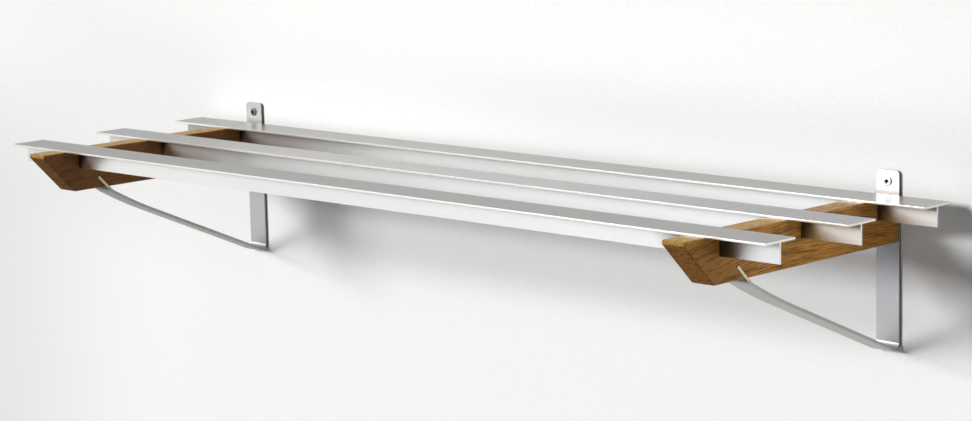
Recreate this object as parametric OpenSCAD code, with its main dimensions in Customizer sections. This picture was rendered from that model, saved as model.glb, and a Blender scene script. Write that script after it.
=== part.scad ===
// Wall-mounted shoe rack: three T-section aluminium rails carried on two oak arms,
// each arm held by a flat metal bar that is bent into a wall strap and a strut.
// The origin is on the wall, midway between the two wall screws. The wall is the
// plane Y = 0, the room lies towards -Y, and the rails run along X.

/* [Rails] */
// Length of each rail
rail_l = 1000; // [600:10:1400]
// Width of a rail's flat top flange
flange_w = 40; // [25:1:60]
// Thickness of the flange
flange_t = 2; // [1.5:0.5:4]
// Thickness of the web that hangs under the flange
web_t = 2; // [1.5:0.5:4]
// Overall height of a rail
rail_h = 20; // [12:1:30]
// Spacing from one rail's centre to the next
rail_pitch = 110; // [80:1:115]
// Distance from the wall to the centre of the back rail
back_rail_y = 34; // [30:1:45]

/* [Oak arms] */
// Width of an arm
arm_w = 25; // [20:1:40]
// Height of an arm
arm_h = 42; // [36:1:50]
// How far an arm stands out from the wall
arm_reach = 300; // [290:1:340]
// Height of the upright land at the tip of the nose
nose_land = 4; // [2:0.5:8]
// Slope of the cut under the nose, in degrees
nose_angle = 45; // [42:1:60]
// Radius of the eased long edges
arm_edge_r = 1.75; // [0.5:0.25:3]
// Distance from the end of a rail to the middle of the nearest arm
overhang = 75; // [40:1:150]

/* [Wall brackets] */
// Thickness of the flat bar
bar_t = 3; // [2.5:0.5:5]
// Height of the tab above the tops of the rails
tab_rise = 20; // [16:1:30]
// Height from the top of the tab to the corner where strap and strut meet
strap_l = 164.5; // [140:0.5:200]
// Radius of the tab's two top corners
tab_corner_r = 3.5; // [1:0.5:6]
// Distance of the wall screw below the top of the tab
screw_drop = 10; // [7:0.5:14]
// Middle radius of the tight bend at the foot of the strap
heel_r = 6; // [3:0.5:12]
// Distance along the underside of an arm from its nose tip to the strut's slot
slot_back = 81; // [70:1:110]
// Slope of the strut's tail in the slot, in degrees
tail_angle = 45; // [40:1:60]
// Length of the tail inside the arm
tail_in = 17; // [12:0.5:20]
// Length of the tail between the arm's underside and the neck bend
tail_out = 8; // [6:0.5:12]
// Middle radius of the neck bend
neck_r = 25; // [10:1:30]
// Sag of the strut below a straight line
strut_bow = 2.6; // [0.5:0.1:6]
// Middle radius of the strut's gentle bow
bow_r = 550; // [200:10:700]

/* [Wall screws] */
// Diameter over the thread
wall_screw_d = 4.5; // [4:0.5:5]
// Diameter of the plain neck, which passes through the tab
wall_neck_d = 3.5; // [2.5:0.5:3.5]
// Length under the head
wall_screw_l = 40; // [25:1:60]
// Diameter of the head
wall_head_d = 8.5; // [7:0.5:10]
// Height of the domed head
wall_head_h = 2.4; // [1.8:0.2:3]

/* [Arm screws] */
// Diameter of the shank
arm_screw_d = 3.5; // [3:0.5:4]
// Overall length, with the countersunk head
arm_screw_l = 25; // [16:1:28]
// Diameter of the countersunk head
arm_head_d = 7; // [6:0.5:8]
// Height of the countersunk head
arm_head_h = 2; // [1.5:0.25:2.25]
// Spacing of the two screws in one arm
arm_screw_pitch = 20; // [14:1:24]

/* [Hidden] */
$fn = 64;

// Clearances
web_fit = 0.1;
tail_fit = 0.2;
slot_end_gap = 1.5;
slot_floor_gap = 0.3;
screw_fit = 0.25;
pilot_fit = 0.05;
countersink_fit = 0.1;
overrun = 1;

// Wall screw: recess and point
wall_recess_w = 1;
wall_recess_l = 4.4;
wall_recess_d = 1.6;
wall_point_l = 5;
head_rim_h = 0.8;

// Arm screw: recess and point
arm_recess_w = 0.9;
arm_recess_l = 3.8;
arm_recess_d = 1.3;
arm_point_l = 4;

// Where along the strut the bow is deepest, from the heel to the neck
bow_share = 0.83;
// Flats that stand for each bend
bend_steps = 12;

// Heights, from the wall screws
tab_top = screw_drop;
rail_top = tab_top - tab_rise;
arm_top = rail_top - flange_t;
arm_bottom = arm_top - arm_h;
arm_mid = (arm_top + arm_bottom) / 2;
web_bottom = rail_top - rail_h;
nose_back = (arm_h - nose_land) / tan(nose_angle);

// The brackets sit under the rails, one overhang in from each end
bracket_x = rail_l / 2 - overhang;
rail_ys = [for (i = [0 : 2]) back_rail_y + i * rail_pitch];
arm_screw_zs = [for (side = [-1, 1]) arm_mid + side * arm_screw_pitch / 2];

// Corners of the bar's centre line, as [distance from the wall, height]
crossing = [arm_reach - slot_back, arm_bottom];
tail_dir = [cos(tail_angle), sin(tail_angle)];
top_end = [bar_t / 2, tab_top];
heel = [bar_t / 2, tab_top - strap_l];
neck = crossing - tail_out * tail_dir;
tail_tip = crossing + tail_in * tail_dir;
chord = neck - heel;
belly = heel + bow_share * chord + strut_bow * [chord[1], -chord[0]] / norm(chord);
bar_corners = [top_end, heel, belly, neck, tail_tip];
bend_radii = [0, heel_r, bow_r, neck_r, 0];

function along(a) = [cos(a), sin(a)];
function heading(i) = let (d = bar_corners[i + 1] - bar_corners[i]) atan2(d[1], d[0]);
function turn(i) = heading(i) - heading(i - 1);
function setback(i) = bend_radii[i] * tan(abs(turn(i)) / 2);

// Steps round the bend at one corner, each as [point on the centre line, heading there]
function bend(i) =
    let (
        r = bend_radii[i] * sign(turn(i)),
        start = bar_corners[i] - setback(i) * along(heading(i - 1)),
        centre = start + r * along(heading(i - 1) + 90)
    )
    [for (k = [0 : bend_steps])
        let (a = heading(i - 1) + turn(i) * k / bend_steps)
        [centre - r * along(a + 90), a]];

last_corner = len(bar_corners) - 1;
bar_path = [
    [top_end, heading(0)],
    for (i = [1 : last_corner - 1]) each bend(i),
    [tail_tip, heading(last_corner - 1)]
];

// The bar's outline, seen from its side
module bar_side() {
    back_first = [for (i = [len(bar_path) - 1 : -1 : 0]) bar_path[i]];
    polygon([
        for (p = bar_path) p[0] + bar_t / 2 * along(p[1] + 90),
        for (p = back_first) p[0] - bar_t / 2 * along(p[1] + 90)
    ]);
}

// Stands an outline of [distance from the wall, height] across the width of a bracket
module across(w) {
    rotate([90, 0, -90]) linear_extrude(w, center = true) children();
}

// A round bar along Y, from one distance off the wall to another
module along_y(from, to, d1, d2) {
    translate([0, -from, 0]) rotate([90, 0, 0]) cylinder(h = to - from, d1 = d1, d2 = d2);
}

module cross_recess(w, l, d) {
    for (a = [0, 90]) rotate([0, a, 0]) cube([w, 2 * d, l], center = true);
}

module rail(y) {
    color("#c4c6c8") across(rail_l) {
        translate([y - flange_w / 2, arm_top]) square([flange_w, flange_t]);
        translate([y - web_t / 2, web_bottom]) square([web_t, rail_h - flange_t / 2]);
    }
}

module arm_section() {
    square([arm_w - 2 * arm_edge_r, arm_h], center = true);
    square([arm_w, arm_h - 2 * arm_edge_r], center = true);
    for (x = [-1, 1], z = [-1, 1])
        translate([x * (arm_w / 2 - arm_edge_r), z * (arm_h / 2 - arm_edge_r)]) circle(arm_edge_r);
}

module arm_side() {
    difference() {
        polygon([
            [bar_t, arm_bottom],
            [arm_reach - nose_back, arm_bottom],
            [arm_reach, arm_top - nose_land],
            [arm_reach, arm_top],
            [bar_t, arm_top]
        ]);
        for (y = rail_ys)
            translate([y - web_t / 2 - web_fit, web_bottom - slot_floor_gap])
                square([web_t + 2 * web_fit, rail_h + slot_floor_gap]);
        translate(crossing) rotate(tail_angle) translate([-bar_t - overrun, -bar_t / 2 - tail_fit])
            square([bar_t + overrun + tail_in + slot_end_gap, bar_t + 2 * tail_fit]);
    }
}

module oak_arm(x) {
    pilot_d = arm_screw_d + 2 * pilot_fit;
    color("#a87f48") translate([x, 0, 0]) difference() {
        intersection() {
            across(arm_w) arm_side();
            translate([0, 0, arm_mid]) rotate([90, 0, 0]) linear_extrude(arm_reach + overrun) arm_section();
        }
        for (z = arm_screw_zs)
            translate([0, 0, z]) {
                along_y(0, arm_screw_l - arm_point_l, pilot_d, pilot_d);
                along_y(arm_screw_l - arm_point_l, arm_screw_l + pilot_fit, pilot_d, 0);
            }
    }
}

module tab_corner() {
    difference() {
        square(tab_corner_r + overrun);
        circle(tab_corner_r);
    }
}

module wall_bracket(x) {
    color("#b9bdc0") translate([x, 0, 0]) difference() {
        across(arm_w) bar_side();
        for (side = [0, 1])
            mirror([side, 0, 0])
                translate([arm_w / 2 - tab_corner_r, overrun, tab_top - tab_corner_r])
                    rotate([90, 0, 0]) linear_extrude(bar_t + 2 * overrun) tab_corner();
        along_y(-overrun, bar_t + overrun, wall_screw_d + 2 * screw_fit, wall_screw_d + 2 * screw_fit);
        for (z = arm_screw_zs)
            translate([0, 0, z]) {
                along_y(-overrun, bar_t + overrun, arm_screw_d + 2 * screw_fit, arm_screw_d + 2 * screw_fit);
                along_y(0, arm_head_h, arm_head_d + 2 * countersink_fit, arm_screw_d + 2 * countersink_fit);
            }
    }
}

module wall_screw() {
    dome_r = (pow(wall_head_d / 2, 2) + pow(wall_head_h - head_rim_h, 2)) / (2 * (wall_head_h - head_rim_h));
    difference() {
        union() {
            along_y(bar_t, bar_t + head_rim_h, wall_head_d, wall_head_d);
            intersection() {
                along_y(bar_t, bar_t + wall_head_h, wall_head_d, wall_head_d);
                translate([0, dome_r - bar_t - wall_head_h, 0]) sphere(dome_r);
            }
            along_y(0, bar_t + head_rim_h, wall_neck_d, wall_neck_d);
            along_y(bar_t + wall_point_l - wall_screw_l, 0, wall_screw_d, wall_screw_d);
            along_y(bar_t - wall_screw_l, bar_t + wall_point_l - wall_screw_l, 0, wall_screw_d);
        }
        translate([0, -bar_t - wall_head_h, 0]) cross_recess(wall_recess_w, wall_recess_l, wall_recess_d);
    }
}

module arm_screw() {
    difference() {
        union() {
            along_y(0, arm_head_h, arm_head_d, arm_screw_d);
            along_y(0, arm_screw_l - arm_point_l, arm_screw_d, arm_screw_d);
            along_y(arm_screw_l - arm_point_l, arm_screw_l, arm_screw_d, 0);
        }
        cross_recess(arm_recess_w, arm_recess_l, arm_recess_d);
    }
}

module front_rail() rail(rail_ys[2]);
module middle_rail() rail(rail_ys[1]);
module back_rail() rail(rail_ys[0]);
module left_oak_arm() oak_arm(-bracket_x);
module right_oak_arm() oak_arm(bracket_x);
module left_wall_bracket() wall_bracket(-bracket_x);
module right_wall_bracket() wall_bracket(bracket_x);

module wall_screws() {
    color("#d0d2d3") for (x = [-bracket_x, bracket_x]) translate([x, 0, 0]) wall_screw();
}

module arm_screws() {
    color("#c9b26a") for (x = [-bracket_x, bracket_x], z = arm_screw_zs) translate([x, 0, z]) arm_screw();
}

front_rail();
middle_rail();
back_rail();
left_oak_arm();
right_oak_arm();
left_wall_bracket();
right_wall_bracket();
wall_screws();
arm_screws();
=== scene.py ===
import bpy
import bmesh
import math
from mathutils import Matrix, Vector


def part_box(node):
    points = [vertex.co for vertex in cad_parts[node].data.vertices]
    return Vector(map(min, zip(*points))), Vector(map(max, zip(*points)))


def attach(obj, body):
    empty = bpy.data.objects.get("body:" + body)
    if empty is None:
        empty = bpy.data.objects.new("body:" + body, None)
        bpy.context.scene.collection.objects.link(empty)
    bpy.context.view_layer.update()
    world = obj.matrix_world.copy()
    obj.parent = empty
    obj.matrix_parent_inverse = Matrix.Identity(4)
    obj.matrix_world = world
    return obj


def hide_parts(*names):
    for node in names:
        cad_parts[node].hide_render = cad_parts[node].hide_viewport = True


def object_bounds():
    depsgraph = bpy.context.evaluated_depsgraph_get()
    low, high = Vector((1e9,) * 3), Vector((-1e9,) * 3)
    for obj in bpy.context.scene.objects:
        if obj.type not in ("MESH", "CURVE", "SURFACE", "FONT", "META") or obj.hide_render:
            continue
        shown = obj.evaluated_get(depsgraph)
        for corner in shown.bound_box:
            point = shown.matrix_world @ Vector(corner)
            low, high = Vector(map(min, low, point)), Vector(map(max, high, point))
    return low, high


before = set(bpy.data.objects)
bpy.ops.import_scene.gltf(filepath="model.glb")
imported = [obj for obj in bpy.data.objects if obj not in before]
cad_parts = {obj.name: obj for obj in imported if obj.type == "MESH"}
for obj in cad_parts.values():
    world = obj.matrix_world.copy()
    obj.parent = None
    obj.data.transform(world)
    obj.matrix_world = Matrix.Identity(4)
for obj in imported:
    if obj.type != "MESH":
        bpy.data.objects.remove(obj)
cadLow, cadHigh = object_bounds()
mm = 0.001  # every size below is in metres, most of them written as a number of mm
leftX = sum(corner.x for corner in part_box("left_wall_bracket")) / 2
rightX = sum(corner.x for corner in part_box("right_wall_bracket")) / 2
print("frame loaded")


# Working as by hand: one object in edit mode, its faces and edges picked by place

def deselectAll():
    if bpy.context.object and bpy.context.object.mode != "OBJECT":
        bpy.ops.object.mode_set(mode="OBJECT")
    bpy.ops.object.select_all(action="DESELECT")


def selectOnly(*objects):
    deselectAll()
    for obj in objects:
        obj.select_set(True)
    bpy.context.view_layer.objects.active = objects[0]


def openForEdit(obj, selectAll=False):
    selectOnly(obj)
    bpy.ops.object.mode_set(mode="EDIT")
    bpy.ops.mesh.select_mode(type="FACE")
    bpy.ops.mesh.select_all(action="SELECT" if selectAll else "DESELECT")


def closeEdit():
    bpy.ops.object.mode_set(mode="OBJECT")


def pickFaces(obj, test):
    bpy.ops.mesh.select_mode(type="FACE")
    bpy.ops.mesh.select_all(action="DESELECT")
    mesh = bmesh.from_edit_mesh(obj.data)
    for face in mesh.faces:
        if test(face.calc_center_median(), face.normal):
            face.select_set(True)
    bmesh.update_edit_mesh(obj.data)


def pickEdges(obj, test):
    bpy.ops.mesh.select_mode(type="EDGE")
    bpy.ops.mesh.select_all(action="DESELECT")
    mesh = bmesh.from_edit_mesh(obj.data)
    for edge in mesh.edges:
        start, end = (vert.co for vert in edge.verts)
        if test((start + end) / 2, (end - start).normalized()):
            edge.select_set(True)
    bmesh.update_edit_mesh(obj.data)


def extrudeBy(offset):
    bpy.ops.mesh.extrude_region_move(TRANSFORM_OT_translate={"value": offset})


def applyPlace(obj):
    selectOnly(obj)
    bpy.ops.object.transform_apply(location=True, rotation=True, scale=True)
    return obj


def addBlock(name, low, high, turn=(0, 0, 0)):
    deselectAll()
    low, high = Vector(low), Vector(high)
    bpy.ops.mesh.primitive_cube_add(size=1, location=(low + high) / 2, rotation=turn, scale=high - low)
    block = bpy.context.object
    block.name = name
    return applyPlace(block)


def addRoundBar(name, start, length, radius, tipRadius=None, sides=48):
    # a round bar or cone that lies along +Y from its start
    deselectAll()
    middle = Vector(start) + Vector((0, length / 2, 0))
    bpy.ops.mesh.primitive_cone_add(
        vertices=sides, radius1=radius, radius2=radius if tipRadius is None else tipRadius,
        depth=length, location=middle, rotation=(-math.pi / 2, 0, 0))
    bar = bpy.context.object
    bar.name = name
    return applyPlace(bar)


def applyModifier(obj, kind, **settings):
    selectOnly(obj)
    modifier = obj.modifiers.new(kind.title(), kind)
    for name, value in settings.items():
        setattr(modifier, name, value)
    bpy.ops.object.modifier_apply(modifier=modifier.name)


def cutAway(obj, *cutters):
    for cutter in cutters:
        applyModifier(obj, "BOOLEAN", operation="DIFFERENCE", solver="EXACT", object=cutter)
        bpy.data.objects.remove(cutter)


def fuse(obj, *others):
    for other in others:
        applyModifier(obj, "BOOLEAN", operation="UNION", solver="EXACT", object=other)
        bpy.data.objects.remove(other)


def soften(obj, width, segments, angle=30):
    applyModifier(obj, "BEVEL", width=width, segments=segments, limit_method="ANGLE",
                  angle_limit=math.radians(angle), miter_outer="MITER_ARC")


def smooth(obj, angle=50):
    openForEdit(obj, selectAll=True)
    bpy.ops.mesh.dissolve_degenerate(threshold=0.0005 * mm)
    closeEdit()
    bpy.ops.object.shade_smooth_by_angle(angle=math.radians(angle))
    applyModifier(obj, "WEIGHTED_NORMAL", keep_sharp=True, weight=90)


def copyPiece(obj, name, offset):
    selectOnly(obj)
    bpy.ops.object.duplicate()
    twin = bpy.context.object
    twin.name = name
    bpy.ops.transform.translate(value=offset)
    return applyPlace(twin)


def finishPiece(obj, node, slotName, *materials):
    obj.data.name = obj.name
    if not obj.data.materials:
        for material in materials:
            obj.data.materials.append(material)
    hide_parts(node)
    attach(obj, "root")


# Building materials: small helpers for nodes, and the effects that several finishes share

def addNode(tree, kind, inputs={}, **settings):
    node = tree.nodes.new(kind)
    for name, value in settings.items():
        setattr(node, name, value)
    for name, value in inputs.items():
        if isinstance(value, bpy.types.NodeSocket):
            tree.links.new(value, node.inputs[name])
        else:
            node.inputs[name].default_value = value
    return node


def maths(tree, operation, first, second=0.5, clamp=False):
    node = addNode(tree, "ShaderNodeMath", {0: first, 1: second}, operation=operation, use_clamp=clamp)
    return node.outputs[0]


def remap(tree, value, low, high, toLow, toHigh):
    return addNode(tree, "ShaderNodeMapRange", {
        "Value": value, "From Min": low, "From Max": high, "To Min": toLow, "To Max": toHigh,
    }, interpolation_type="SMOOTHSTEP").outputs["Result"]


def fade(tree, value, none, full):
    # a mask that rises smoothly from 0 to 1 as the value goes from none to full
    return remap(tree, value, none, full, 0.0, 1.0)


def noise(tree, vector, scale, detail=2.0, roughness=0.5):
    stretched = addNode(tree, "ShaderNodeVectorMath", {0: vector, 1: scale}, operation="MULTIPLY")
    return addNode(tree, "ShaderNodeTexNoise", {
        "Vector": stretched.outputs[0], "Scale": 1.0, "Detail": detail, "Roughness": roughness,
    }).outputs["Fac"]


def blendColour(tree, share, first, second):
    return addNode(tree, "ShaderNodeMix", {0: share, 6: first, 7: second}, data_type="RGBA").outputs[2]


def scaleColour(tree, colour, factor):
    return addNode(tree, "ShaderNodeVectorMath", {0: colour, "Scale": factor}, operation="SCALE").outputs[0]


def tintColour(tree, colour, tint):
    return addNode(tree, "ShaderNodeVectorMath", {0: colour, 1: tint}, operation="MULTIPLY").outputs[0]


def both(tree, *masks):
    result = masks[0]
    for mask in masks[1:]:
        result = maths(tree, "MULTIPLY", result, mask)
    return result


def inverse(tree, mask):
    return maths(tree, "SUBTRACT", 1.0, mask)


def placeAndFacing(tree):
    source = addNode(tree, "ShaderNodeTexCoord").outputs
    place = addNode(tree, "ShaderNodeSeparateXYZ", {0: source["Object"]}).outputs
    facing = addNode(tree, "ShaderNodeSeparateXYZ", {0: source["Normal"]}).outputs
    return place[:3], facing[:3]


def colourAlong(tree, x, stops):
    # blends from stop to stop along x
    colour = (*stops[0][1], 1)
    for (here, _), (there, nextColour) in zip(stops, stops[1:]):
        colour = blendColour(tree, fade(tree, x, here, there), colour, (*nextColour, 1))
    return colour


def newGroup(name, inputs, outputs):
    group = bpy.data.node_groups.new(name, "ShaderNodeTree")
    for label, kind, value in inputs:
        group.interface.new_socket(name=label, in_out="INPUT", socket_type=kind).default_value = value
    for label, kind in outputs:
        group.interface.new_socket(name=label, in_out="OUTPUT", socket_type=kind)
    return group, group.nodes.new("NodeGroupInput").outputs, group.nodes.new("NodeGroupOutput").inputs


def newMaterial(name):
    material = bpy.data.materials.new(name)
    material.use_nodes = True
    tree = material.node_tree
    return material, tree, tree.nodes["Principled BSDF"], tree.nodes["Material Output"]


def makeMetalGrain():
    # fine parallel scratches, a slow cloudiness, and the bump that goes with them
    group, given, made = newGroup("metalGrain", [
        ("Stretch", "NodeSocketVector", (4.0, 900.0, 900.0)),
        ("Cloud Scale", "NodeSocketVector", (8.0, 30.0, 30.0)),
        ("Colour", "NodeSocketColor", (0.6, 0.6, 0.6, 1)),
        ("Streaks", "NodeSocketFloat", 0.1),
        ("Clouds", "NodeSocketFloat", 0.08),
        ("Roughness", "NodeSocketFloat", 0.3),
        ("Bump", "NodeSocketFloat", 0.05),
    ], [("Colour", "NodeSocketColor"), ("Roughness", "NodeSocketFloat"), ("Normal", "NodeSocketVector")])
    place = addNode(group, "ShaderNodeTexCoord").outputs["Object"]
    streak = maths(group, "SUBTRACT", noise(group, place, given["Stretch"], 3.0, 0.65), 0.5)
    cloud = maths(group, "SUBTRACT", noise(group, place, given["Cloud Scale"], 3.0, 0.6), 0.5)
    shade = maths(group, "ADD", maths(group, "MULTIPLY", streak, given["Streaks"]),
                  maths(group, "MULTIPLY", cloud, given["Clouds"]))
    toned = scaleColour(group, given["Colour"], maths(group, "ADD", shade, 1.0))
    group.links.new(toned, made["Colour"])
    rough = maths(group, "ADD", given["Roughness"], maths(group, "MULTIPLY", shade, 0.5))
    group.links.new(rough, made["Roughness"])
    bump = addNode(group, "ShaderNodeBump", {
        "Strength": given["Bump"], "Distance": 0.1 * mm, "Height": streak,
    })
    group.links.new(bump.outputs[0], made["Normal"])
    return group


metalGrain = makeMetalGrain()


def makeMetal(name, paint, roughness, stretch, clouds=(8, 30, 30), streakShare=0.1, cloudShare=0.08,
              bump=0.05, edgeTint=(1, 1, 1), anisotropy=0.0, turn=0.0):
    # paint is a plain colour, or a function that builds one from the place on the piece
    material, tree, shader, _ = newMaterial(name)
    colour = paint(tree) if callable(paint) else (*paint, 1)
    grain = addNode(tree, "ShaderNodeGroup", {
        "Stretch": stretch, "Cloud Scale": clouds, "Colour": colour, "Streaks": streakShare,
        "Clouds": cloudShare, "Roughness": roughness, "Bump": bump,
    }, node_tree=metalGrain)
    tree.links.new(grain.outputs["Colour"], shader.inputs["Base Color"])
    tree.links.new(grain.outputs["Roughness"], shader.inputs["Roughness"])
    tree.links.new(grain.outputs["Normal"], shader.inputs["Normal"])
    shader.inputs["Metallic"].default_value = 1.0
    shader.inputs["Specular Tint"].default_value = (*edgeTint, 1)
    if anisotropy:
        shader.inputs["Anisotropic"].default_value = anisotropy
        shader.inputs["Anisotropic Rotation"].default_value = turn
        tangent = addNode(tree, "ShaderNodeTangent", direction_type="UV_MAP", uv_map="UVMap")
        tree.links.new(tangent.outputs[0], shader.inputs["Tangent"])
    return material


# Where the photo's light leaves a piece duller or paler than this scene's plain lamps do, the tone
# is painted on by place. In the photo the left bracket is the duller one, but not on its strap.
barLook = {
    "plain": (0.484, 0.478, 0.468),
    "sideFacing": (0.35, 0.8),              # how far sideways a narrow side faces
    "sideDepths": (-4 * mm, -2.8 * mm),     # from here to the wall, the narrow sides get painted shade
    "sideHeights": (-45 * mm, -12 * mm),    # the painted shade is deepest at the tab
    "sideShades": (0.5, 0.3),
    "slotDepth": -200 * mm,                 # past here a narrow side is the tail's, with painted warm light in its slot
    "slotHeights": (-57 * mm, -53 * mm),
    "slotLightTint": (0.80, 0.70, 0.50, 1),
    "neckDepth": -214 * mm,                 # past here the underside is the neck's, with painted shade below the arm
    "neckHeights": (-60 * mm, -56 * mm),
    "neckFacing": (-0.3, -0.5),
    "neckShadeTint": (0.10, 0.10, 0.115, 1),
    "strapDepths": (-4 * mm, -3.2 * mm),
    "strapTop": (-20 * mm, -30 * mm),
    "strapHeights": (-105 * mm, -50 * mm),  # painted shade on the strap, deepest just under the arm
    "strapShadeTint": (0.70, 0.712, 0.755, 1),
    "strapTopShadeTint": (0.41, 0.42, 0.465, 1),
    "leftShade": 0.76,
    "leftStrapShadeLift": 1.32,
}


def paintBar(tree):
    look = barLook
    (x, depth, height), facing = placeAndFacing(tree)
    onRight = fade(tree, x, -1 * mm, 1 * mm)
    side = fade(tree, maths(tree, "ABSOLUTE", facing[0]), *look["sideFacing"])
    # painted shade on the narrow sides next to the wall
    shadedSides = both(tree, side, fade(tree, depth, *look["sideDepths"]))
    sideShade = remap(tree, height, *look["sideHeights"], *look["sideShades"])
    colour = scaleColour(tree, look["plain"], remap(tree, shadedSides, 0.0, 1.0, 1.0, sideShade))
    # painted warm light on the tail's narrow sides in the arm's slot
    inSlot = both(tree, side, maths(tree, "LESS_THAN", depth, look["slotDepth"]),
                  fade(tree, height, *look["slotHeights"]))
    colour = blendColour(tree, inSlot, colour, look["slotLightTint"])
    # painted shade on the neck's underside below the arm
    underArm = both(tree, maths(tree, "LESS_THAN", depth, look["neckDepth"]),
                    fade(tree, height, *look["neckHeights"]), fade(tree, facing[2], *look["neckFacing"]))
    colour = blendColour(tree, underArm, colour, look["neckShadeTint"])
    # painted shade over the whole left bracket
    colour = scaleColour(tree, colour, remap(tree, onRight, 0.0, 1.0, look["leftShade"], 1.0))
    # painted shade on the strap, deepest just under the arm and lighter on the left
    onStrap = both(tree, fade(tree, depth, *look["strapDepths"]), inverse(tree, side),
                   fade(tree, height, *look["strapTop"]))
    strapShade = blendColour(tree, fade(tree, height, *look["strapHeights"]), look["strapShadeTint"],
                       look["strapTopShadeTint"])
    strapShade = scaleColour(tree, strapShade, remap(tree, onRight, 0.0, 1.0, look["leftStrapShadeLift"], 1.0))
    return blendColour(tree, onStrap, colour, tintColour(tree, colour, strapShade))


# Each rail's painted reflections and shade: its edge tint, stops of x and colour along its flange and its
# web, then how far the painted shade beside an arm reaches, from near to far, on the arms' left and right
railLooks = {
    "front_rail": {
        "edgeTint": (0.462, 0.460, 0.448),
        "flange": [(-0.5, (0.69, 0.69, 0.69))],
        "web": [(-0.43, (0.72, 0.72, 0.74)), (-0.40, (0.84, 0.83, 0.82)), (-0.25, (0.80, 0.79, 0.79)),
                (0.0, (0.745, 0.745, 0.755)), (0.44, (0.72, 0.72, 0.735)), (0.48, (0.63, 0.63, 0.65))],
        "leftReach": (15.5 * mm, 27 * mm),
        "rightReach": (17.5 * mm, 64 * mm),
    },
    "middle_rail": {
        "edgeTint": (0.645, 0.643, 0.643),
        "flange": [(-0.42, (0.56, 0.56, 0.56)), (-0.12, (0.73, 0.73, 0.715)), (0.2, (0.715, 0.715, 0.705)),
                   (0.42, (0.57, 0.57, 0.58))],
        "web": [(-0.43, (0.64, 0.62, 0.61)), (-0.40, (0.90, 0.94, 0.97)), (-0.34, (0.86, 0.88, 0.90)),
                (-0.27, (0.54, 0.54, 0.54)), (-0.1, (0.64, 0.64, 0.64)), (0.05, (0.71, 0.71, 0.72)),
                (0.43, (0.72, 0.72, 0.735)), (0.455, (0.92, 0.985, 1.0))],
        "leftReach": (12.5 * mm, 24 * mm),
        "rightReach": (15.5 * mm, 37 * mm),
    },
    "back_rail": {
        "edgeTint": (0.580, 0.577, 0.570),
        "flange": [(-0.5, (0.69, 0.69, 0.68)), (0.0, (0.75, 0.75, 0.74)), (0.30, (0.70, 0.70, 0.69))],
        "web": [(-0.43, (0.42, 0.41, 0.40)), (-0.40, (0.69, 0.69, 0.69)), (-0.1, (0.66, 0.66, 0.66)),
                (0.05, (0.63, 0.63, 0.63)), (0.43, (0.68, 0.68, 0.685)), (0.455, (0.87, 0.94, 0.99))],
        "leftReach": (12.5 * mm, 24 * mm),
        "rightReach": (14.5 * mm, 36 * mm),
    },
}
railShades = {
    "flangeBottom": -12 * mm,
    "webStart": 0.5 * mm,       # below the flange's bottom
    # painted shade on the webs beside each arm
    "shadeBesideArm": 0.16,
    "reachLean": 0.55,          # the painted shade beside an arm reaches further at the web's top
    "reachDepth": 8 * mm,       # below the flange, where the reaches above are measured
    "underFlangeShade": 0.40,        # painted shade: how much darker a web's top is, under the flange
    "underFlangeShadeDepth": 7 * mm,
    "rimFacing": (0.15, 0.5),   # how far a rim faces the room or the wall, to get its painted highlight
    # painted highlight on the flanges' rims
    "rim": (0.80, 0.79, 0.75, 1),
}


def paintRail(look):
    def paint(tree):
        shades = railShades
        (x, _, height), facing = placeAndFacing(tree)
        below = maths(tree, "SUBTRACT", shades["flangeBottom"], height)
        onWeb = fade(tree, below, 0.0, shades["webStart"])
        fromMiddle = maths(tree, "SUBTRACT", below, shades["reachDepth"])
        lean = maths(tree, "MULTIPLY", fromMiddle, shades["reachLean"])
        # painted shade at the web's top, under the flange
        top = remap(tree, below, 0.0, shades["underFlangeShadeDepth"], shades["underFlangeShade"], 0.0)
        shade = inverse(tree, top)
        # painted shade on the webs beside each arm
        for armX, reach in ((leftX, look["leftReach"]), (rightX, look["rightReach"])):
            sideways = maths(tree, "ABSOLUTE", maths(tree, "SUBTRACT", x, armX))
            away = maths(tree, "ADD", sideways, lean)
            shade = maths(tree, "MULTIPLY", shade, remap(tree, away, *reach, shades["shadeBesideArm"], 1.0))
        # painted reflections and shade along each web and flange, in stops of x
        web = scaleColour(tree, colourAlong(tree, x, look["web"]), shade)
        colour = blendColour(tree, onWeb, colourAlong(tree, x, look["flange"]), web)
        # painted highlight on the rims
        onRimHighlight = both(tree, inverse(tree, onWeb),
                     fade(tree, maths(tree, "ABSOLUTE", facing[1]), *shades["rimFacing"]))
        return blendColour(tree, onRimHighlight, colour, shades["rim"])
    return paint


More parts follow.
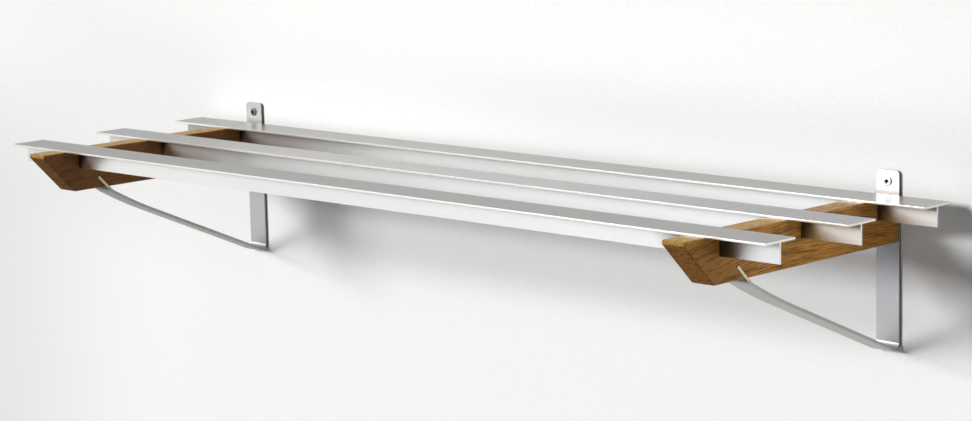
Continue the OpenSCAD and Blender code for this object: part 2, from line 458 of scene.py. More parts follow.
oak = {
    "light": (0.50, 0.228, 0.038, 1),
    "dark": (0.155, 0.056, 0.009, 1),
    "pore": (0.07, 0.026, 0.005, 1),
    "heart": (0.10, -0.36),            # the tree's centre line, in x and z; it runs along y
    "ringGap": 1.7 * mm,
    "ringWander": 12 * mm,             # how far the rings stray from true circles
    "ringDarkness": 0.22,
    "grainLean": -0.15,                # rise of the grain towards the wall, at the wall
    "grainBend": -0.55,                # how the rise changes on the way there, per metre
    "wanderGrain": (14, 3.2, 14),      # the patterns' grains, in waves per metre
    "fibreGrain": (1050, 42, 1050),
    "cloudGrain": (26, 5, 26),
    "poreGrain": (1500, 60, 1500),
    "speckGrain": (380, 380, 380),
    "poreShare": 0.6,
    "roughness": 0.48,
    "endRoughness": 0.85,
    "poreRoughness": 0.2,
    "bump": 0.35,
    "bumpDepth": 0.12 * mm,
    "endFacing": (0.35, 0.7),
    "underFacing": (-0.2, -0.5),
    "topFacing": (0.4, 0.9),
    "landFacing": (-0.6, -0.85),
    "outwardFacing": (0.4, 0.8),
    "endShade": 0.6,                   # the slanted end grain is darker, partly its own colour and partly painted shade
    "topLightTint": (1.0, 1.28, 1.74),      # painted light: the tops and the noses' upright lands are paler
    "innerSideShade": (0.42, 0.37, 0.34),
    "leftEndShade": 0.72,
    "middleFrom": (-0.26, -0.19),      # painted light: the right arm's outer side is palest in the middle
    "middleTo": (-0.04, -0.12),
    "middleLightLift": (1.36, 1.42, 1.56),
}


def makeOak():
    material, tree, shader, _ = newMaterial("oiledOak")
    shader.inputs["Specular IOR Level"].default_value = 0.2
    (x, y, z), facing = placeAndFacing(tree)
    endGrain = fade(tree, maths(tree, "ABSOLUTE", facing[1]), *oak["endFacing"])
    underCut = fade(tree, facing[2], *oak["underFacing"])
    onSlant = both(tree, endGrain, underCut)
    # every pattern follows the grain, which leans and bends along the arm
    bend = maths(tree, "ADD", maths(tree, "MULTIPLY", y, oak["grainBend"]), oak["grainLean"])
    leaning = maths(tree, "SUBTRACT", z, maths(tree, "MULTIPLY", y, bend))
    place = addNode(tree, "ShaderNodeCombineXYZ", {0: x, 1: y, 2: leaning}).outputs[0]
    # growth rings round the heart
    straying = maths(tree, "SUBTRACT", noise(tree, place, oak["wanderGrain"], 2.0))
    wander = maths(tree, "MULTIPLY", straying, oak["ringWander"])
    across = maths(tree, "SUBTRACT", x, oak["heart"][0])
    above = maths(tree, "SUBTRACT", leaning, oak["heart"][1])
    squares = maths(tree, "ADD", maths(tree, "POWER", across, 2.0), maths(tree, "POWER", above, 2.0))
    radius = maths(tree, "ADD", maths(tree, "SQRT", squares), wander)
    year = maths(tree, "FRACT", maths(tree, "DIVIDE", radius, oak["ringGap"]))
    early = both(tree, fade(tree, year, 0.0, 0.12), fade(tree, year, 0.75, 0.2))
    # fibres, slow clouds, pores, and specks on the slanted end
    fibre = noise(tree, place, oak["fibreGrain"], 4.0, 0.75)
    cloud = noise(tree, place, oak["cloudGrain"], 2.0)
    pores = fade(tree, noise(tree, place, oak["poreGrain"], 1.0), 0.56, 0.68)
    poreMask = both(tree, pores, maths(tree, "ADD", maths(tree, "MULTIPLY", early, 0.75), 0.25))
    specks = remap(tree, noise(tree, place, oak["speckGrain"], 3.0, 0.7), 0.42, 0.62, -0.3, 0.7)
    ringsAndSpecks = maths(tree, "ADD", maths(tree, "MULTIPLY", early, oak["ringDarkness"]),
                           both(tree, specks, onSlant))
    figure = maths(tree, "ADD", remap(tree, fibre, 0.36, 0.64, -0.5, 0.72),
                   remap(tree, cloud, 0.3, 0.7, -0.12, 0.26))
    darkness = maths(tree, "ADD", ringsAndSpecks, figure, clamp=True)
    wood = blendColour(tree, darkness, oak["light"], oak["dark"])
    wood = blendColour(tree, maths(tree, "MULTIPLY", poreMask, oak["poreShare"]), wood, oak["pore"])
    # the slanted end grain darker, partly painted shade; painted light on the tops and lands
    land = both(tree, fade(tree, facing[1], *oak["landFacing"]), inverse(tree, underCut))
    paintedLight = maths(tree, "MAXIMUM", fade(tree, facing[2], *oak["topFacing"]), land)
    shaded = scaleColour(tree, wood, remap(tree, onSlant, 0.0, 1.0, 1.0, oak["endShade"]))
    colour = blendColour(tree, paintedLight, shaded, tintColour(tree, shaded, oak["topLightTint"]))
    # the photo's shade on the left arm's inner side and end, and its light on the right arm's middle
    outward = fade(tree, facing[0], *oak["outwardFacing"])
    onLeft = maths(tree, "LESS_THAN", x, 0.0)
    inner = both(tree, outward, onLeft)
    colour = blendColour(tree, inner, colour, tintColour(tree, colour, oak["innerSideShade"]))
    leftEnd = both(tree, onSlant, onLeft)
    colour = scaleColour(tree, colour, remap(tree, leftEnd, 0.0, 1.0, 1.0, oak["leftEndShade"]))
    middle = both(tree, outward, inverse(tree, onLeft), fade(tree, y, *oak["middleFrom"]),
                  fade(tree, y, *oak["middleTo"]))
    colour = blendColour(tree, middle, colour, tintColour(tree, colour, oak["middleLightLift"]))
    tree.links.new(colour, shader.inputs["Base Color"])
    rough = maths(tree, "ADD", maths(tree, "MULTIPLY", poreMask, oak["poreRoughness"]),
                  remap(tree, endGrain, 0.0, 1.0, oak["roughness"], oak["endRoughness"]))
    tree.links.new(rough, shader.inputs["Roughness"])
    height = maths(tree, "SUBTRACT", maths(tree, "MULTIPLY", fibre, 0.5), poreMask)
    bump = addNode(tree, "ShaderNodeBump", {
        "Strength": oak["bump"], "Distance": oak["bumpDepth"], "Height": height,
    })
    tree.links.new(bump.outputs[0], shader.inputs["Normal"])
    return material


alongRail = (5, 700, 700)        # scratches run along x
alongBar = (900, 9, 9)           # scratches follow the bent bar, across x
sawMarks = (5, 500, 1500)
evenGrain = (300, 300, 300)
railFinishes = {
    node: makeMetal("satin" + node.title().replace("_", ""), paintRail(look), 0.28, alongRail,
                    streakShare=0.045, cloudShare=0.03, edgeTint=look["edgeTint"], anisotropy=0.2,
                    turn=0.25)
    for node, look in railLooks.items()
}
sawnFinish = makeMetal("sawnRailEnd", (0.90, 0.86, 0.79), 0.42, sawMarks, streakShare=0.2, bump=0.3)
barFinish = makeMetal("satinBar", paintBar, 0.42, alongBar, (40, 40, 40), streakShare=0.05,
                      cloudShare=0.09, bump=0.04, edgeTint=(0.78, 0.78, 0.78))
screwFinish = makeMetal("brightScrew", (0.84, 0.84, 0.83), 0.3, evenGrain, streakShare=0.06, bump=0.02)
# painted shade on the wall screws' head rims
screwRimShadeFinish = makeMetal("screwRimShade", (0.12, 0.12, 0.12), 0.4, evenGrain, streakShare=0.06, bump=0.02,
                           edgeTint=(0.3, 0.3, 0.3))
darkScrewFinish = makeMetal("darkScrew", (0.17, 0.17, 0.17), 0.7, evenGrain, streakShare=0.06,
                            bump=0.02, edgeTint=(0.35, 0.35, 0.35))
# painted shade inside the screws' recesses
recessShadeFinish = makeMetal("screwRecessShade", (0.015, 0.015, 0.015), 0.6, evenGrain, streakShare=0.1,
                         bump=0.02, edgeTint=(0.1, 0.1, 0.1))
zincFinish = makeMetal("zincScrew", (0.70, 0.64, 0.44), 0.3, evenGrain, (500, 500, 500),
                       streakShare=0.06, cloudShare=0.35, bump=0.03)
oakFinish = makeOak()
print("finishes made")


# Rails

rail = {
    "flangeThick": 2 * mm,
    "webThick": 2 * mm,
    "arris": 0.22 * mm,
    "arrisSteps": 2,
}


def buildRail():
    low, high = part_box("front_rail")
    middle = (low.y + high.y) / 2
    flangeBottom = high.z - rail["flangeThick"]
    profile = addBlock("frontRail", (low.x, low.y, flangeBottom), high)
    openForEdit(profile, selectAll=True)
    for side in (-1, 1):
        bpy.ops.mesh.select_all(action="SELECT")
        bpy.ops.mesh.bisect(plane_co=(0, middle + side * rail["webThick"] / 2, 0), plane_no=(0, 1, 0))
    pickFaces(profile, lambda at, normal: normal.z < -0.9 and abs(at.y - middle) < rail["webThick"] / 2)
    extrudeBy((0, 0, low.z - flangeBottom))
    closeEdit()
    soften(profile, rail["arris"], rail["arrisSteps"])
    profile.data.materials.append(railFinishes["front_rail"])
    profile.data.materials.append(sawnFinish)
    openForEdit(profile, selectAll=True)
    bpy.ops.uv.cube_project(cube_size=1.0)
    pickFaces(profile, lambda at, normal: abs(normal.x) > 0.9)
    profile.active_material_index = 1
    bpy.ops.object.material_slot_assign()
    closeEdit()
    smooth(profile)
    return profile


frontRail = buildRail()
rails = {"front_rail": frontRail}
for node, name in (("middle_rail", "middleRail"), ("back_rail", "backRail")):
    rails[node] = copyPiece(frontRail, name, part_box(node)[0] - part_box("front_rail")[0])
for node, piece in rails.items():
    piece.data.materials[0] = railFinishes[node]
    finishPiece(piece, node, "rail_aluminium")
print("rails made")


# Oak arms

arm = {
    "noseLand": 4 * mm,        # the upright strip at the tip of the nose
    "noseAngle": 45,           # degrees
    "easedEdge": 1.75 * mm,
    "easedSteps": 4,
    "sawCut": 2.5 * mm,        # width of the cuts that hold the webs
    "sawCutBelowWeb": 0.6 * mm,
    "strutCutFromNose": 81 * mm,
    "strutCutAngle": 45,       # degrees
    "strutCutWidth": 3.8 * mm,
    "strutCutDepth": 18.5 * mm,
    "screwSpacing": 20 * mm,   # between the two screws in the arm's end
    "pilotRadius": 1.8 * mm,
    "pilotDepth": 21 * mm,
    "overrun": 4 * mm,         # how far cutters reach past the wood
}


def buildArm():
    low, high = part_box("left_oak_arm")
    timber = addBlock("leftOakArm", low, high)
    openForEdit(timber, selectAll=True)
    slope = math.radians(arm["noseAngle"])
    bpy.ops.mesh.bisect(plane_co=(0, low.y, high.z - arm["noseLand"]),
                        plane_no=(0, -math.sin(slope), -math.cos(slope)), clear_outer=True, use_fill=True)
    closeEdit()
    soften(timber, arm["easedEdge"], arm["easedSteps"])
    past = arm["overrun"]
    for node in rails:
        railLow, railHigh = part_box(node)
        middle = (railLow.y + railHigh.y) / 2
        cutLow = (low.x - past, middle - arm["sawCut"] / 2, railLow.z - arm["sawCutBelowWeb"])
        cutHigh = (high.x + past, middle + arm["sawCut"] / 2, high.z + past)
        cutAway(timber, addBlock("sawCut", cutLow, cutHigh))
    lean = math.radians(arm["strutCutAngle"])
    mouth = Vector((leftX, low.y + arm["strutCutFromNose"], low.z))
    inward = Vector((0, -math.cos(lean), math.sin(lean)))
    centre = mouth + inward * (arm["strutCutDepth"] - past) / 2
    half = Vector((high.x - low.x + 2 * past, arm["strutCutDepth"] + past, arm["strutCutWidth"])) / 2
    cutAway(timber, addBlock("strutCut", centre - half, centre + half, (-lean, 0, 0)))
    for z in screwHeights:
        start = (leftX, high.y - arm["pilotDepth"], z)
        cutAway(timber, addRoundBar("pilot", start, arm["pilotDepth"] + past, arm["pilotRadius"], sides=32))
    smooth(timber)
    return timber


armLow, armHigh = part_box("left_oak_arm")
armMiddle = (armLow.z + armHigh.z) / 2
screwHeights = [armMiddle - arm["screwSpacing"] / 2, armMiddle + arm["screwSpacing"] / 2]
acrossRack = Vector((rightX - leftX, 0, 0))
leftOakArm = buildArm()
rightOakArm = copyPiece(leftOakArm, "rightOakArm", acrossRack)
finishPiece(leftOakArm, "left_oak_arm", "oiled_oak", oakFinish)
finishPiece(rightOakArm, "right_oak_arm", "oiled_oak", oakFinish)
print("oak arms made")


# Wall brackets: one flat bar each, bent into tab, strap, strut and tail

bar = {
    "thick": 3 * mm,
    "strapLength": 164.5 * mm,   # from the top of the tab to the corner at the heel
    "tabCorner": 3.5 * mm,
    "tabCornerSteps": 10,
    "heelRadius": 6 * mm,
    "bowRadius": 550 * mm,
    "neckRadius": 25 * mm,
    "bowDeepestShare": 0.83,
    "strutSag": 2.6 * mm,
    "tailAngle": 45,             # degrees
    "tailInside": 17 * mm,
    "tailOutside": 8 * mm,
    "bendSteps": (12, 20, 14),   # heel, bow and neck
    "arris": 0.35 * mm,
    "arrisSteps": 3,
    "wallHole": 2.5 * mm,
    "armHole": 2 * mm,
    "countersink": 3.6 * mm,
    "countersinkDepth": 2 * mm,
    "overrun": 2 * mm,
}


def barCorners():
    # the bar's centre line in the plane of y and z
    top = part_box("left_wall_bracket")[1].z
    lean = math.radians(bar["tailAngle"])
    inward = Vector((0, -math.cos(lean), math.sin(lean)))
    crossing = Vector((0, armLow.y + arm["strutCutFromNose"], armLow.z))
    start = Vector((0, -bar["thick"] / 2, top))
    heel = start - Vector((0, 0, bar["strapLength"]))
    neck = crossing - bar["tailOutside"] * inward
    chord = neck - heel
    down = chord.cross(Vector((1, 0, 0))).normalized()
    belly = heel + bar["bowDeepestShare"] * chord - bar["strutSag"] * down
    return [start, heel, belly, neck, crossing + bar["tailInside"] * inward]


def buildBar():
    low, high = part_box("left_wall_bracket")
    corners = barCorners()
    radii = [bar["heelRadius"], bar["bowRadius"], bar["neckRadius"]]
    legs = [(corners[i + 1] - corners[i]).normalized() for i in range(4)]
    turns = [legs[i].angle(legs[i + 1]) for i in range(3)]
    setbacks = [radius * math.tan(turn / 2) for radius, turn in zip(radii, turns)]
    bendStart = corners[1] - setbacks[0] * legs[0]
    strip = addBlock("leftWallBar", (low.x, -bar["thick"], bendStart.z), (high.x, 0, high.z))
    openForEdit(strip)
    pickFaces(strip, lambda at, normal: normal.z < -0.9)
    for i in range(3):
        axis = legs[i].cross(legs[i + 1]).normalized()  # the spin turns the other way round it
        toCentre = axis.cross(legs[i])
        at = corners[i + 1] - setbacks[i] * legs[i]
        bpy.ops.mesh.spin(steps=bar["bendSteps"][i], angle=turns[i], axis=-axis,
                          center=at + radii[i] * toCentre + Vector((leftX, 0, 0)))
        after = corners[i + 1] + setbacks[i] * legs[i + 1]
        until = corners[i + 2] - (setbacks[i + 1] if i < 2 else 0) * legs[i + 1]
        extrudeBy(until - after)
    bpy.ops.mesh.select_all(action="SELECT")
    bpy.ops.mesh.remove_doubles(threshold=0.001 * mm)
    bpy.ops.mesh.normals_make_consistent(inside=False)
    pickEdges(strip, lambda at, along: abs(along.y) > 0.9 and at.z > high.z - mm)
    bpy.ops.mesh.bevel(offset=bar["tabCorner"], segments=bar["tabCornerSteps"], affect="EDGES")
    closeEdit()
    soften(strip, bar["arris"], bar["arrisSteps"])
    past = bar["overrun"]
    front = -bar["thick"] - past
    through = bar["thick"] + 2 * past
    sinkDepth = bar["countersinkDepth"]
    sinkMouth = 2 * bar["countersink"] - bar["armHole"]
    cutAway(strip, addRoundBar("hole", (leftX, front, 0), through, bar["wallHole"]))
    for z in screwHeights:
        hole = addRoundBar("hole", (leftX, front, z), through, bar["armHole"])
        sink = addRoundBar("sink", (leftX, -sinkDepth, z), 2 * sinkDepth, bar["armHole"], sinkMouth)
        cutAway(strip, hole, sink)
    smooth(strip)
    return strip


leftWallBar = buildBar()
rightWallBar = copyPiece(leftWallBar, "rightWallBar", acrossRack)
finishPiece(leftWallBar, "left_wall_bracket", "bracket_aluminium", barFinish)
finishPiece(rightWallBar, "right_wall_bracket", "bracket_aluminium", barFinish)
print("wall bars made")


# Screws

wallScrew = {
    "headRadius": 4.25 * mm,
    "rim": 1.0 * mm,
    "dome": 0.7 * mm,
    "domeSteps": 9,
    "neckRadius": 1.75 * mm,
    "coreRadius": 1.55 * mm,
    "threadRadius": 2.24 * mm,
    "pitch": 2.1 * mm,
    "threadEnd": 34 * mm,
    "point": 5 * mm,
    "pointShort": 0.4 * mm,      # how far the point ends before the tip
    "pointRadius": 0.1 * mm,
    "edge": 0.12 * mm,
    "overlap": 0.3 * mm,
    "recessWidth": 1.9 * mm,
    "recessLength": 5.0 * mm,
    "recessDepth": 1.25 * mm,
}
armScrew = {
    "headRadius": 3.5 * mm,
    "headDepth": 2 * mm,
    "coreRadius": 1.2 * mm,
    "threadRadius": 1.74 * mm,
    "pitch": 1.7 * mm,
    "threadEnd": 22.5 * mm,
    "length": 25 * mm,
    "point": 4 * mm,
    "pointRadius": 0.1 * mm,
    "edge": 0.08 * mm,
    "overlap": 0.2 * mm,
    "rim": 0.2 * mm,
    "neckShare": 0.9,            # of the thread's radius
    "neckTurns": 0.6,            # the neck's length, in turns of the thread
    "recessWidth": 0.9 * mm,
    "recessLength": 3.8 * mm,
    "recessDepth": 1.3 * mm,
}


screwEdgeSteps = 2
screwEdgeAngle = 40              # degrees
threadShape = {
    "steps": 24,                 # in one turn
    "circleShare": 0.3,          # of the pitch
    "halfWidthShare": 0.28,      # of the pitch
    "rootDepth": 0.15 * mm,      # how far the ridge is sunk in the core
}
recessShape = {
    "floorTaper": 0.62,          # of the cross at its mouth
    "coneWide": 1.75,            # the cone's radii, in widths of the cross
    "coneNarrow": 0.8,
    "coneShare": 1.5,            # its length, in depths of the cross
}
recessFaces = {
    "reach": 0.98,               # the faces given painted shade, as shares of the recess's reach and depth
    "skin": 0.02 * mm,
    "deepest": 1.1,
    "floor": 0.9,
    "steep": 0.75,
}


def addThread(name, size, length):
    # a ridge wound round the core along +Y, made by the Screw modifier from one small triangle
    deselectAll()
    core, crest, pitch = size["coreRadius"], size["threadRadius"], size["pitch"]
    radius = pitch * threadShape["circleShare"]
    bpy.ops.mesh.primitive_circle_add(vertices=3, radius=radius, fill_type="NGON")
    ridge = bpy.context.object
    ridge.name = name
    root = core - threadShape["rootDepth"]
    halfWidth = pitch * threadShape["halfWidthShare"]
    corners = [(root, -halfWidth, 0), (crest, 0, 0), (root, halfWidth, 0)]
    for vert, corner in zip(ridge.data.vertices, corners):
        vert.co = corner
    applyModifier(ridge, "SCREW", axis="Y", steps=threadShape["steps"], render_steps=threadShape["steps"],
                  iterations=round(length / pitch), screw_offset=pitch, angle=2 * math.pi,
                  use_merge_vertices=True)
    return ridge


def closeThread(ridge, size, tip):
    # caps both ends of the ridge and draws its last turns in towards the tip
    openForEdit(ridge, selectAll=True)
    bpy.ops.mesh.select_mode(type="EDGE")
    bpy.ops.mesh.select_all(action="DESELECT")
    bpy.ops.mesh.select_non_manifold()
    bpy.ops.mesh.edge_face_add()
    bpy.ops.mesh.select_all(action="SELECT")
    bpy.ops.mesh.normals_make_consistent(inside=False)
    closeEdit()
    for vert in ridge.data.vertices:
        share = min(1.0, max(0.0, (tip - vert.co.y) / size["point"]))
        vert.co.x *= share
        vert.co.z *= share


def crossCutters(place, size, into=1):
    # a tapered cross and a four-sided cone; into is the way in along y
    halfWide, halfLong = size["recessWidth"] / 2, size["recessLength"] / 2
    taper = recessShape["floorTaper"]
    cutters = []
    for wide, tall in ((halfWide, halfLong), (halfLong, halfWide)):
        reach = Vector((wide, size["recessDepth"], tall))
        cutter = addBlock("recess", place - reach, place + reach)
        openForEdit(cutter)
        pickFaces(cutter, lambda at, normal: normal.y * into > 0.9)
        floor = place + Vector((0, into * reach.y, 0))
        bpy.ops.transform.resize(value=(taper, 1, taper), center_override=floor)
        closeEdit()
        cutters.append(cutter)
    depth = size["recessDepth"]
    start = place - Vector((0, depth / 2 if into > 0 else depth, 0))
    wide, narrow = (size["recessWidth"] * recessShape[name] for name in ("coneWide", "coneNarrow"))
    ends = (wide, narrow) if into > 0 else (narrow, wide)
    cutters.append(addRoundBar("recess", start, depth * recessShape["coneShare"], *ends, sides=4))
    return cutters


# painted shade on the recess's walls and floor
def paintRecessShade(screw, place, size, into=1):
    reach = size["recessLength"] / 2 * recessFaces["reach"]
    deepest, floor = (size["recessDepth"] * recessFaces[name] for name in ("deepest", "floor"))

    def inRecess(at, normal):
        sideways = Vector((at.x - place.x, 0, at.z - place.z)).length
        depth = (at.y - place.y) * into
        onWallOrFloor = abs(normal.y) < recessFaces["steep"] or depth > floor
        return sideways < reach and recessFaces["skin"] < depth <= deepest and onWallOrFloor

    openForEdit(screw)
    pickFaces(screw, inRecess)
    screw.active_material_index = 1
    bpy.ops.object.material_slot_assign()
    closeEdit()


def joinPieces(first, *others):
    selectOnly(first, *others)
    bpy.ops.object.join()
    return first


def buildWallScrew():
    size = wallScrew
    seat = -bar["thick"]
    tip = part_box("wall_screws")[1].y
    rimFront = seat - size["rim"]
    screw = addRoundBar("leftWallScrew", (leftX, rimFront, 0), size["rim"], size["headRadius"], sides=64)
    openForEdit(screw)
    pickFaces(screw, lambda at, normal: normal.y < -0.9)
    domeRadius = (size["headRadius"] ** 2 + size["dome"] ** 2) / (2 * size["dome"])
    radius, depth = size["headRadius"], 0
    full = math.asin(size["headRadius"] / domeRadius)
    for step in range(1, size["domeSteps"]):
        angle = full * (1 - step / size["domeSteps"])
        nextRadius = domeRadius * math.sin(angle)
        nextDepth = domeRadius * math.cos(angle) - (domeRadius - size["dome"])
        extrudeBy((0, depth - nextDepth, 0))
        shrink = nextRadius / radius
        middle = (leftX, rimFront - nextDepth, 0)
        bpy.ops.transform.resize(value=(shrink, 1, shrink), center_override=middle)
        radius, depth = nextRadius, nextDepth
    closeEdit()
    front = Vector((leftX, rimFront - size["dome"], 0))
    soften(screw, size["edge"], screwEdgeSteps, screwEdgeAngle)
    cutAway(screw, *crossCutters(front, size))
    overlap = size["overlap"]
    shank = addRoundBar("neck", (leftX, seat - overlap, 0), overlap - seat + mm, size["neckRadius"])
    core = addRoundBar("core", (leftX, overlap, 0), tip - size["point"], size["coreRadius"])
    coreEnd = overlap + tip - size["point"]
    point = addRoundBar("point", (leftX, coreEnd, 0), size["point"] - size["pointShort"],
                        size["coreRadius"], size["pointRadius"])
    thread = addThread("thread", size, size["threadEnd"])
    closeThread(thread, size, tip)
    selectOnly(thread)
    bpy.ops.transform.translate(value=(leftX, size["pitch"] * 0.5, 0))
    applyPlace(thread)
    fuse(screw, shank)
    fuse(core, point)
    for finish in (screwFinish, recessShadeFinish, screwRimShadeFinish):
        screw.data.materials.append(finish)
    paintRecessShade(screw, front, size)
    # painted shade on the head's rim
    openForEdit(screw)
    pickFaces(screw, lambda at, normal: abs(normal.y) < 0.5 and rimFront < at.y < seat and
              Vector((at.x - leftX, 0, at.z)).length > size["headRadius"] * 0.9)
    screw.active_material_index = 2
    bpy.ops.object.material_slot_assign()
    closeEdit()
    joinPieces(screw, core, thread)
    smooth(screw, 35)
    return screw


def buildArmScrew():
    size = armScrew
    tip = -size["length"]
    face = Vector((leftX, 0, screwHeights[0]))
    headEnd = -size["headDepth"]
    neckLength = size["pitch"] * size["neckTurns"]
    thread = addThread("thread", size, size["threadEnd"] - size["headDepth"] - size["pitch"])
    closeThread(thread, size, -tip - neckLength)
    selectOnly(thread)
    bpy.ops.transform.rotate(value=math.pi, orient_axis="X", center_override=(0, 0, 0))
    bpy.ops.transform.translate(value=face + Vector((0, headEnd - neckLength, 0)))
    applyPlace(thread)
    neck = size["threadRadius"] * size["neckShare"]
    screw = addRoundBar("armScrew", face + Vector((0, headEnd, 0)), size["headDepth"] - size["rim"], neck,
                        size["headRadius"])
    openForEdit(screw)
    pickFaces(screw, lambda at, normal: normal.y > 0.9)
    extrudeBy((0, size["rim"], 0))
    pickFaces(screw, lambda at, normal: normal.y < -0.9)
    extrudeBy((0, -neckLength, 0))
    closeEdit()
    soften(screw, size["edge"], screwEdgeSteps, screwEdgeAngle)
    cutAway(screw, *crossCutters(face, size, into=-1))
    core = addRoundBar("core", face + Vector((0, tip, 0)), size["point"], size["pointRadius"],
                       size["coreRadius"], sides=32)
    openForEdit(core)
    pickFaces(core, lambda at, normal: normal.y > 0.9)
    extrudeBy((0, -tip - size["point"] + headEnd + size["overlap"], 0))
    closeEdit()
    screw.data.materials.append(zincFinish)
    screw.data.materials.append(recessShadeFinish)
    paintRecessShade(screw, face, size, into=-1)
    joinPieces(screw, core, thread)
    smooth(screw, 35)
    return screw


leftWallScrew = buildWallScrew()
rightWallScrew = copyPiece(leftWallScrew, "rightWallScrew", acrossRack)
leftWallScrew.data.materials[0] = darkScrewFinish    # it is in shade in the photo
finishPiece(leftWallScrew, "wall_screws", "screw_steel")
finishPiece(rightWallScrew, "wall_screws", "screw_steel")
leftLow = buildArmScrew()
leftLow.name = "leftArmScrewLow"
upOne = Vector((0, 0, arm["screwSpacing"]))
leftHigh = copyPiece(leftLow, "leftArmScrewHigh", upOne)
rightLow = copyPiece(leftLow, "rightArmScrewLow", acrossRack)
rightHigh = copyPiece(leftLow, "rightArmScrewHigh", acrossRack + upOne)
for piece in (leftLow, leftHigh, rightLow, rightHigh):
    finishPiece(piece, "arm_screws", "zinc_steel")
print("screws made")


# The wall, the floor and the light

stage = {
    "wallColour": (0.93, 0.93, 0.925, 1),
    "wallLitColour": (1.0, 1.0, 0.993, 1),   # painted light, high up and low down
    # painted shade at the far left and just above the rails
    "wallLeftShadeColour": (0.83, 0.83, 0.825, 1),
    "wallAboveRailShadeColour": (0.845, 0.845, 0.84, 1),
    "wallMottle": 0.965,
    "wallMottleGrain": (240, 240, 240),
    "floorColour": (0.80, 0.80, 0.79, 1),
    "floorBounce": (0.16, 0.156, 0.152, 1),   # what it sends back up on to the rack
    "floorBelowRack": 0.75,
    "wallSkin": -0.05 * mm,   # just inside the straps' backs, so that these show from behind
    "width": 24.0,
    "depth": 24.0,
    "height": 9.0,
}
wallPlaces = {                    # in metres up or along the wall, from no effect to full
    "lowUp": (-0.09, -0.21),
    "highUp": (-0.16, 0.08),
    "highAlong": (-0.35, -0.95),
    "rightUp": (-0.05, -0.11),
    "rightAlong": (0.42, 0.47),
    "topUp": (0.02, 0.13),
    "farLeftAlong": (-0.58, -1.0),
    "aboveRailUpFrom": (-0.04, -0.01),
    "aboveRailUpTo": (0.09, 0.02),
    "aboveRailAlongFrom": (-0.3, 0.1),
    "aboveRailAlongTo": (0.65, 0.44),
}


def seenDirectly(tree):
    ray = addNode(tree, "ShaderNodeLightPath").outputs
    either = maths(tree, "MAXIMUM", ray["Is Camera Ray"], ray["Is Glossy Ray"])
    return maths(tree, "MAXIMUM", either, ray["Is Transmission Ray"])


def paintWall(tree):
    # painted shade at the far left and just above the rails, painted light high up, low down and low on the
    # right, with a fine mottle
    (x, _, height), _ = placeAndFacing(tree)

    def up(name):
        return fade(tree, height, *wallPlaces[name])

    def along(name):
        return fade(tree, x, *wallPlaces[name])

    high = both(tree, up("highUp"), along("highAlong"))
    right = both(tree, up("rightUp"), along("rightAlong"))
    lowOrHigh = maths(tree, "MAXIMUM", up("lowUp"), high)
    paintedLight = maths(tree, "MAXIMUM", lowOrHigh, maths(tree, "MAXIMUM", right, up("topUp")))
    colour = blendColour(tree, paintedLight, stage["wallColour"], stage["wallLitColour"])
    farLeft = both(tree, along("farLeftAlong"), inverse(tree, high))
    colour = blendColour(tree, farLeft, colour, stage["wallLeftShadeColour"])
    aboveRail = both(tree, up("aboveRailUpFrom"), up("aboveRailUpTo"), along("aboveRailAlongFrom"),
                     along("aboveRailAlongTo"))
    colour = blendColour(tree, aboveRail, colour, stage["wallAboveRailShadeColour"])
    place = addNode(tree, "ShaderNodeTexCoord").outputs["Object"]
    mottle = noise(tree, place, stage["wallMottleGrain"], 3.0, 0.75)
    return scaleColour(tree, colour, remap(tree, mottle, 0.35, 0.65, stage["wallMottle"], 1.0))


def makePlaster(name, paint, bounced):
    # seen from its front only: from behind, the wall and floor let the view through
    material, tree, shader, output = newMaterial(name)
    colour = paint(tree) if callable(paint) else paint
    seen = blendColour(tree, seenDirectly(tree), bounced, colour)
    tree.links.new(seen, shader.inputs["Base Color"])
    shader.inputs["Roughness"].default_value = 0.9
    clear = addNode(tree, "ShaderNodeBsdfTransparent")
    behind = addNode(tree, "ShaderNodeNewGeometry").outputs["Backfacing"]
    mixed = addNode(tree, "ShaderNodeMixShader", {0: behind, 1: shader.outputs[0], 2: clear.outputs[0]})
    tree.links.new(mixed.outputs[0], output.inputs["Surface"])
    return material


def addStagePlane(name, place, size, turn, material):
    deselectAll()
    bpy.ops.mesh.primitive_plane_add(size=1, location=place, rotation=turn)
    plane = bpy.context.object
    plane.name = name
    plane.scale = (*size, 1)
    applyPlace(plane)
    plane.data.materials.append(material)


floorHeight = cadLow.z - stage["floorBelowRack"]
addStagePlane("wall", (0, stage["wallSkin"], floorHeight + stage["height"] / 2),
              (stage["width"], stage["height"]), (math.pi / 2, 0, 0),
              makePlaster("paintedWall", paintWall, stage["wallColour"]))
addStagePlane("floor", (0, stage["wallSkin"] - stage["depth"] / 2, floorHeight),
              (stage["width"], stage["depth"]), (0, 0, 0),
              makePlaster("paleFloor", stage["floorColour"], stage["floorBounce"]))

lamps = {
    "key": {"place": (-14.2, -24.8, 8.4), "size": (6.5, 9.0), "watts": 8250, "colour": (1, 1, 1)},
    "overhead": {"place": (-0.3, -0.95, 6.0), "size": (5.0, 1.8), "watts": 80, "colour": (1, 1, 1)},
    "rightSide": {"place": (1.7, -0.6, -0.1), "size": (0.6, 0.6), "watts": 1.0, "colour": (1, 1, 1)},
}
room = {"colour": (1.0, 1.0, 1.0, 1), "strength": 0.045, "seenStrength": 0.93}


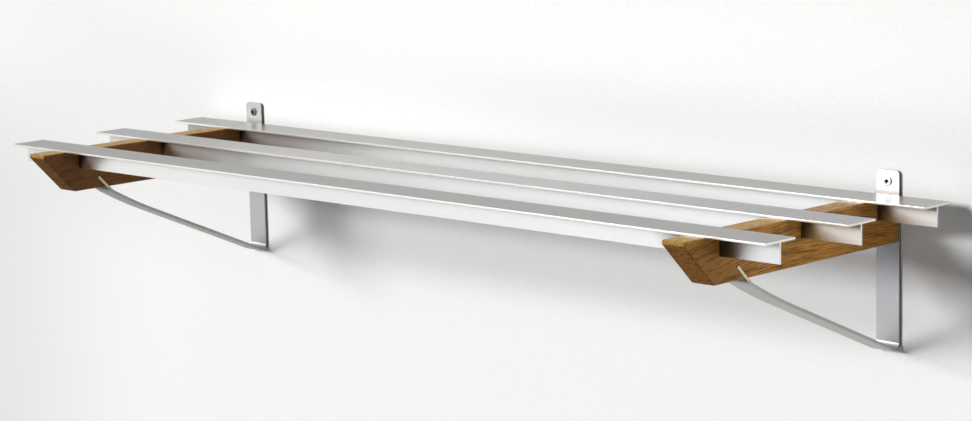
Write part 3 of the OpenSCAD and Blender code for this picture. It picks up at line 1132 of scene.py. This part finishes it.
def addLamp(name, values):
    deselectAll()
    aim = Vector((0, 0, cadLow.z / 2)) - Vector(values["place"])
    turn = aim.to_track_quat("-Z", "Y").to_euler()
    bpy.ops.object.light_add(type="AREA", location=values["place"], rotation=turn)
    lamp = bpy.context.object
    lamp.name = name
    lamp.data.shape = "RECTANGLE"
    lamp.data.size, lamp.data.size_y = values["size"]
    lamp.data.energy = values["watts"]
    lamp.data.color = values["colour"]
    lamp.visible_camera = False


def makeRoomLight():
    world = bpy.data.worlds.new("room")
    bpy.context.scene.world = world
    world.use_nodes = True
    tree = world.node_tree
    strength = remap(tree, seenDirectly(tree), 0.0, 1.0, room["strength"], room["seenStrength"])
    backdrop = tree.nodes["Background"]
    backdrop.inputs["Color"].default_value = room["colour"]
    tree.links.new(strength, backdrop.inputs["Strength"])


for name, values in lamps.items():
    addLamp(name, values)
makeRoomLight()
print("stage lit")


camera = {
    "azimuth": 44.104,        # degrees to the right of square on
    "elevation": 9.462,       # degrees above level
    "roll": -1.3275,          # degrees
    "place": (1.8843, -2.0261, 0.3886),
    "focalPixels": 2805.8,
    "centrePixels": (484.06, 215.54),
    "imagePixels": (972, 421),
    "sensorWidth": 36,        # in the camera's own millimetres
}


def addCamera():
    deselectAll()
    bpy.ops.object.camera_add()
    eye = bpy.context.object
    eye.name = "camera"
    azimuth, elevation, roll = (math.radians(camera[name]) for name in ("azimuth", "elevation", "roll"))
    back = Vector((math.sin(azimuth) * math.cos(elevation), -math.cos(azimuth) * math.cos(elevation),
                   math.sin(elevation)))
    level = (-back).cross(Vector((0, 0, 1))).normalized()
    right = math.cos(roll) * level + math.sin(roll) * level.cross(-back)
    up = right.cross(-back)
    turned = Matrix((right, up, back)).transposed().to_4x4()
    eye.matrix_world = Matrix.Translation(camera["place"]) @ turned
    width, height = camera["imagePixels"]
    eye.data.sensor_width = camera["sensorWidth"]
    eye.data.lens = camera["focalPixels"] * camera["sensorWidth"] / width
    eye.data.shift_x = (width / 2 - camera["centrePixels"][0]) / width
    eye.data.shift_y = (camera["centrePixels"][1] - height / 2) / width
    bpy.context.scene.camera = eye


addCamera()
bpy.context.scene.view_settings.view_transform = "Standard"

print("rack finished")
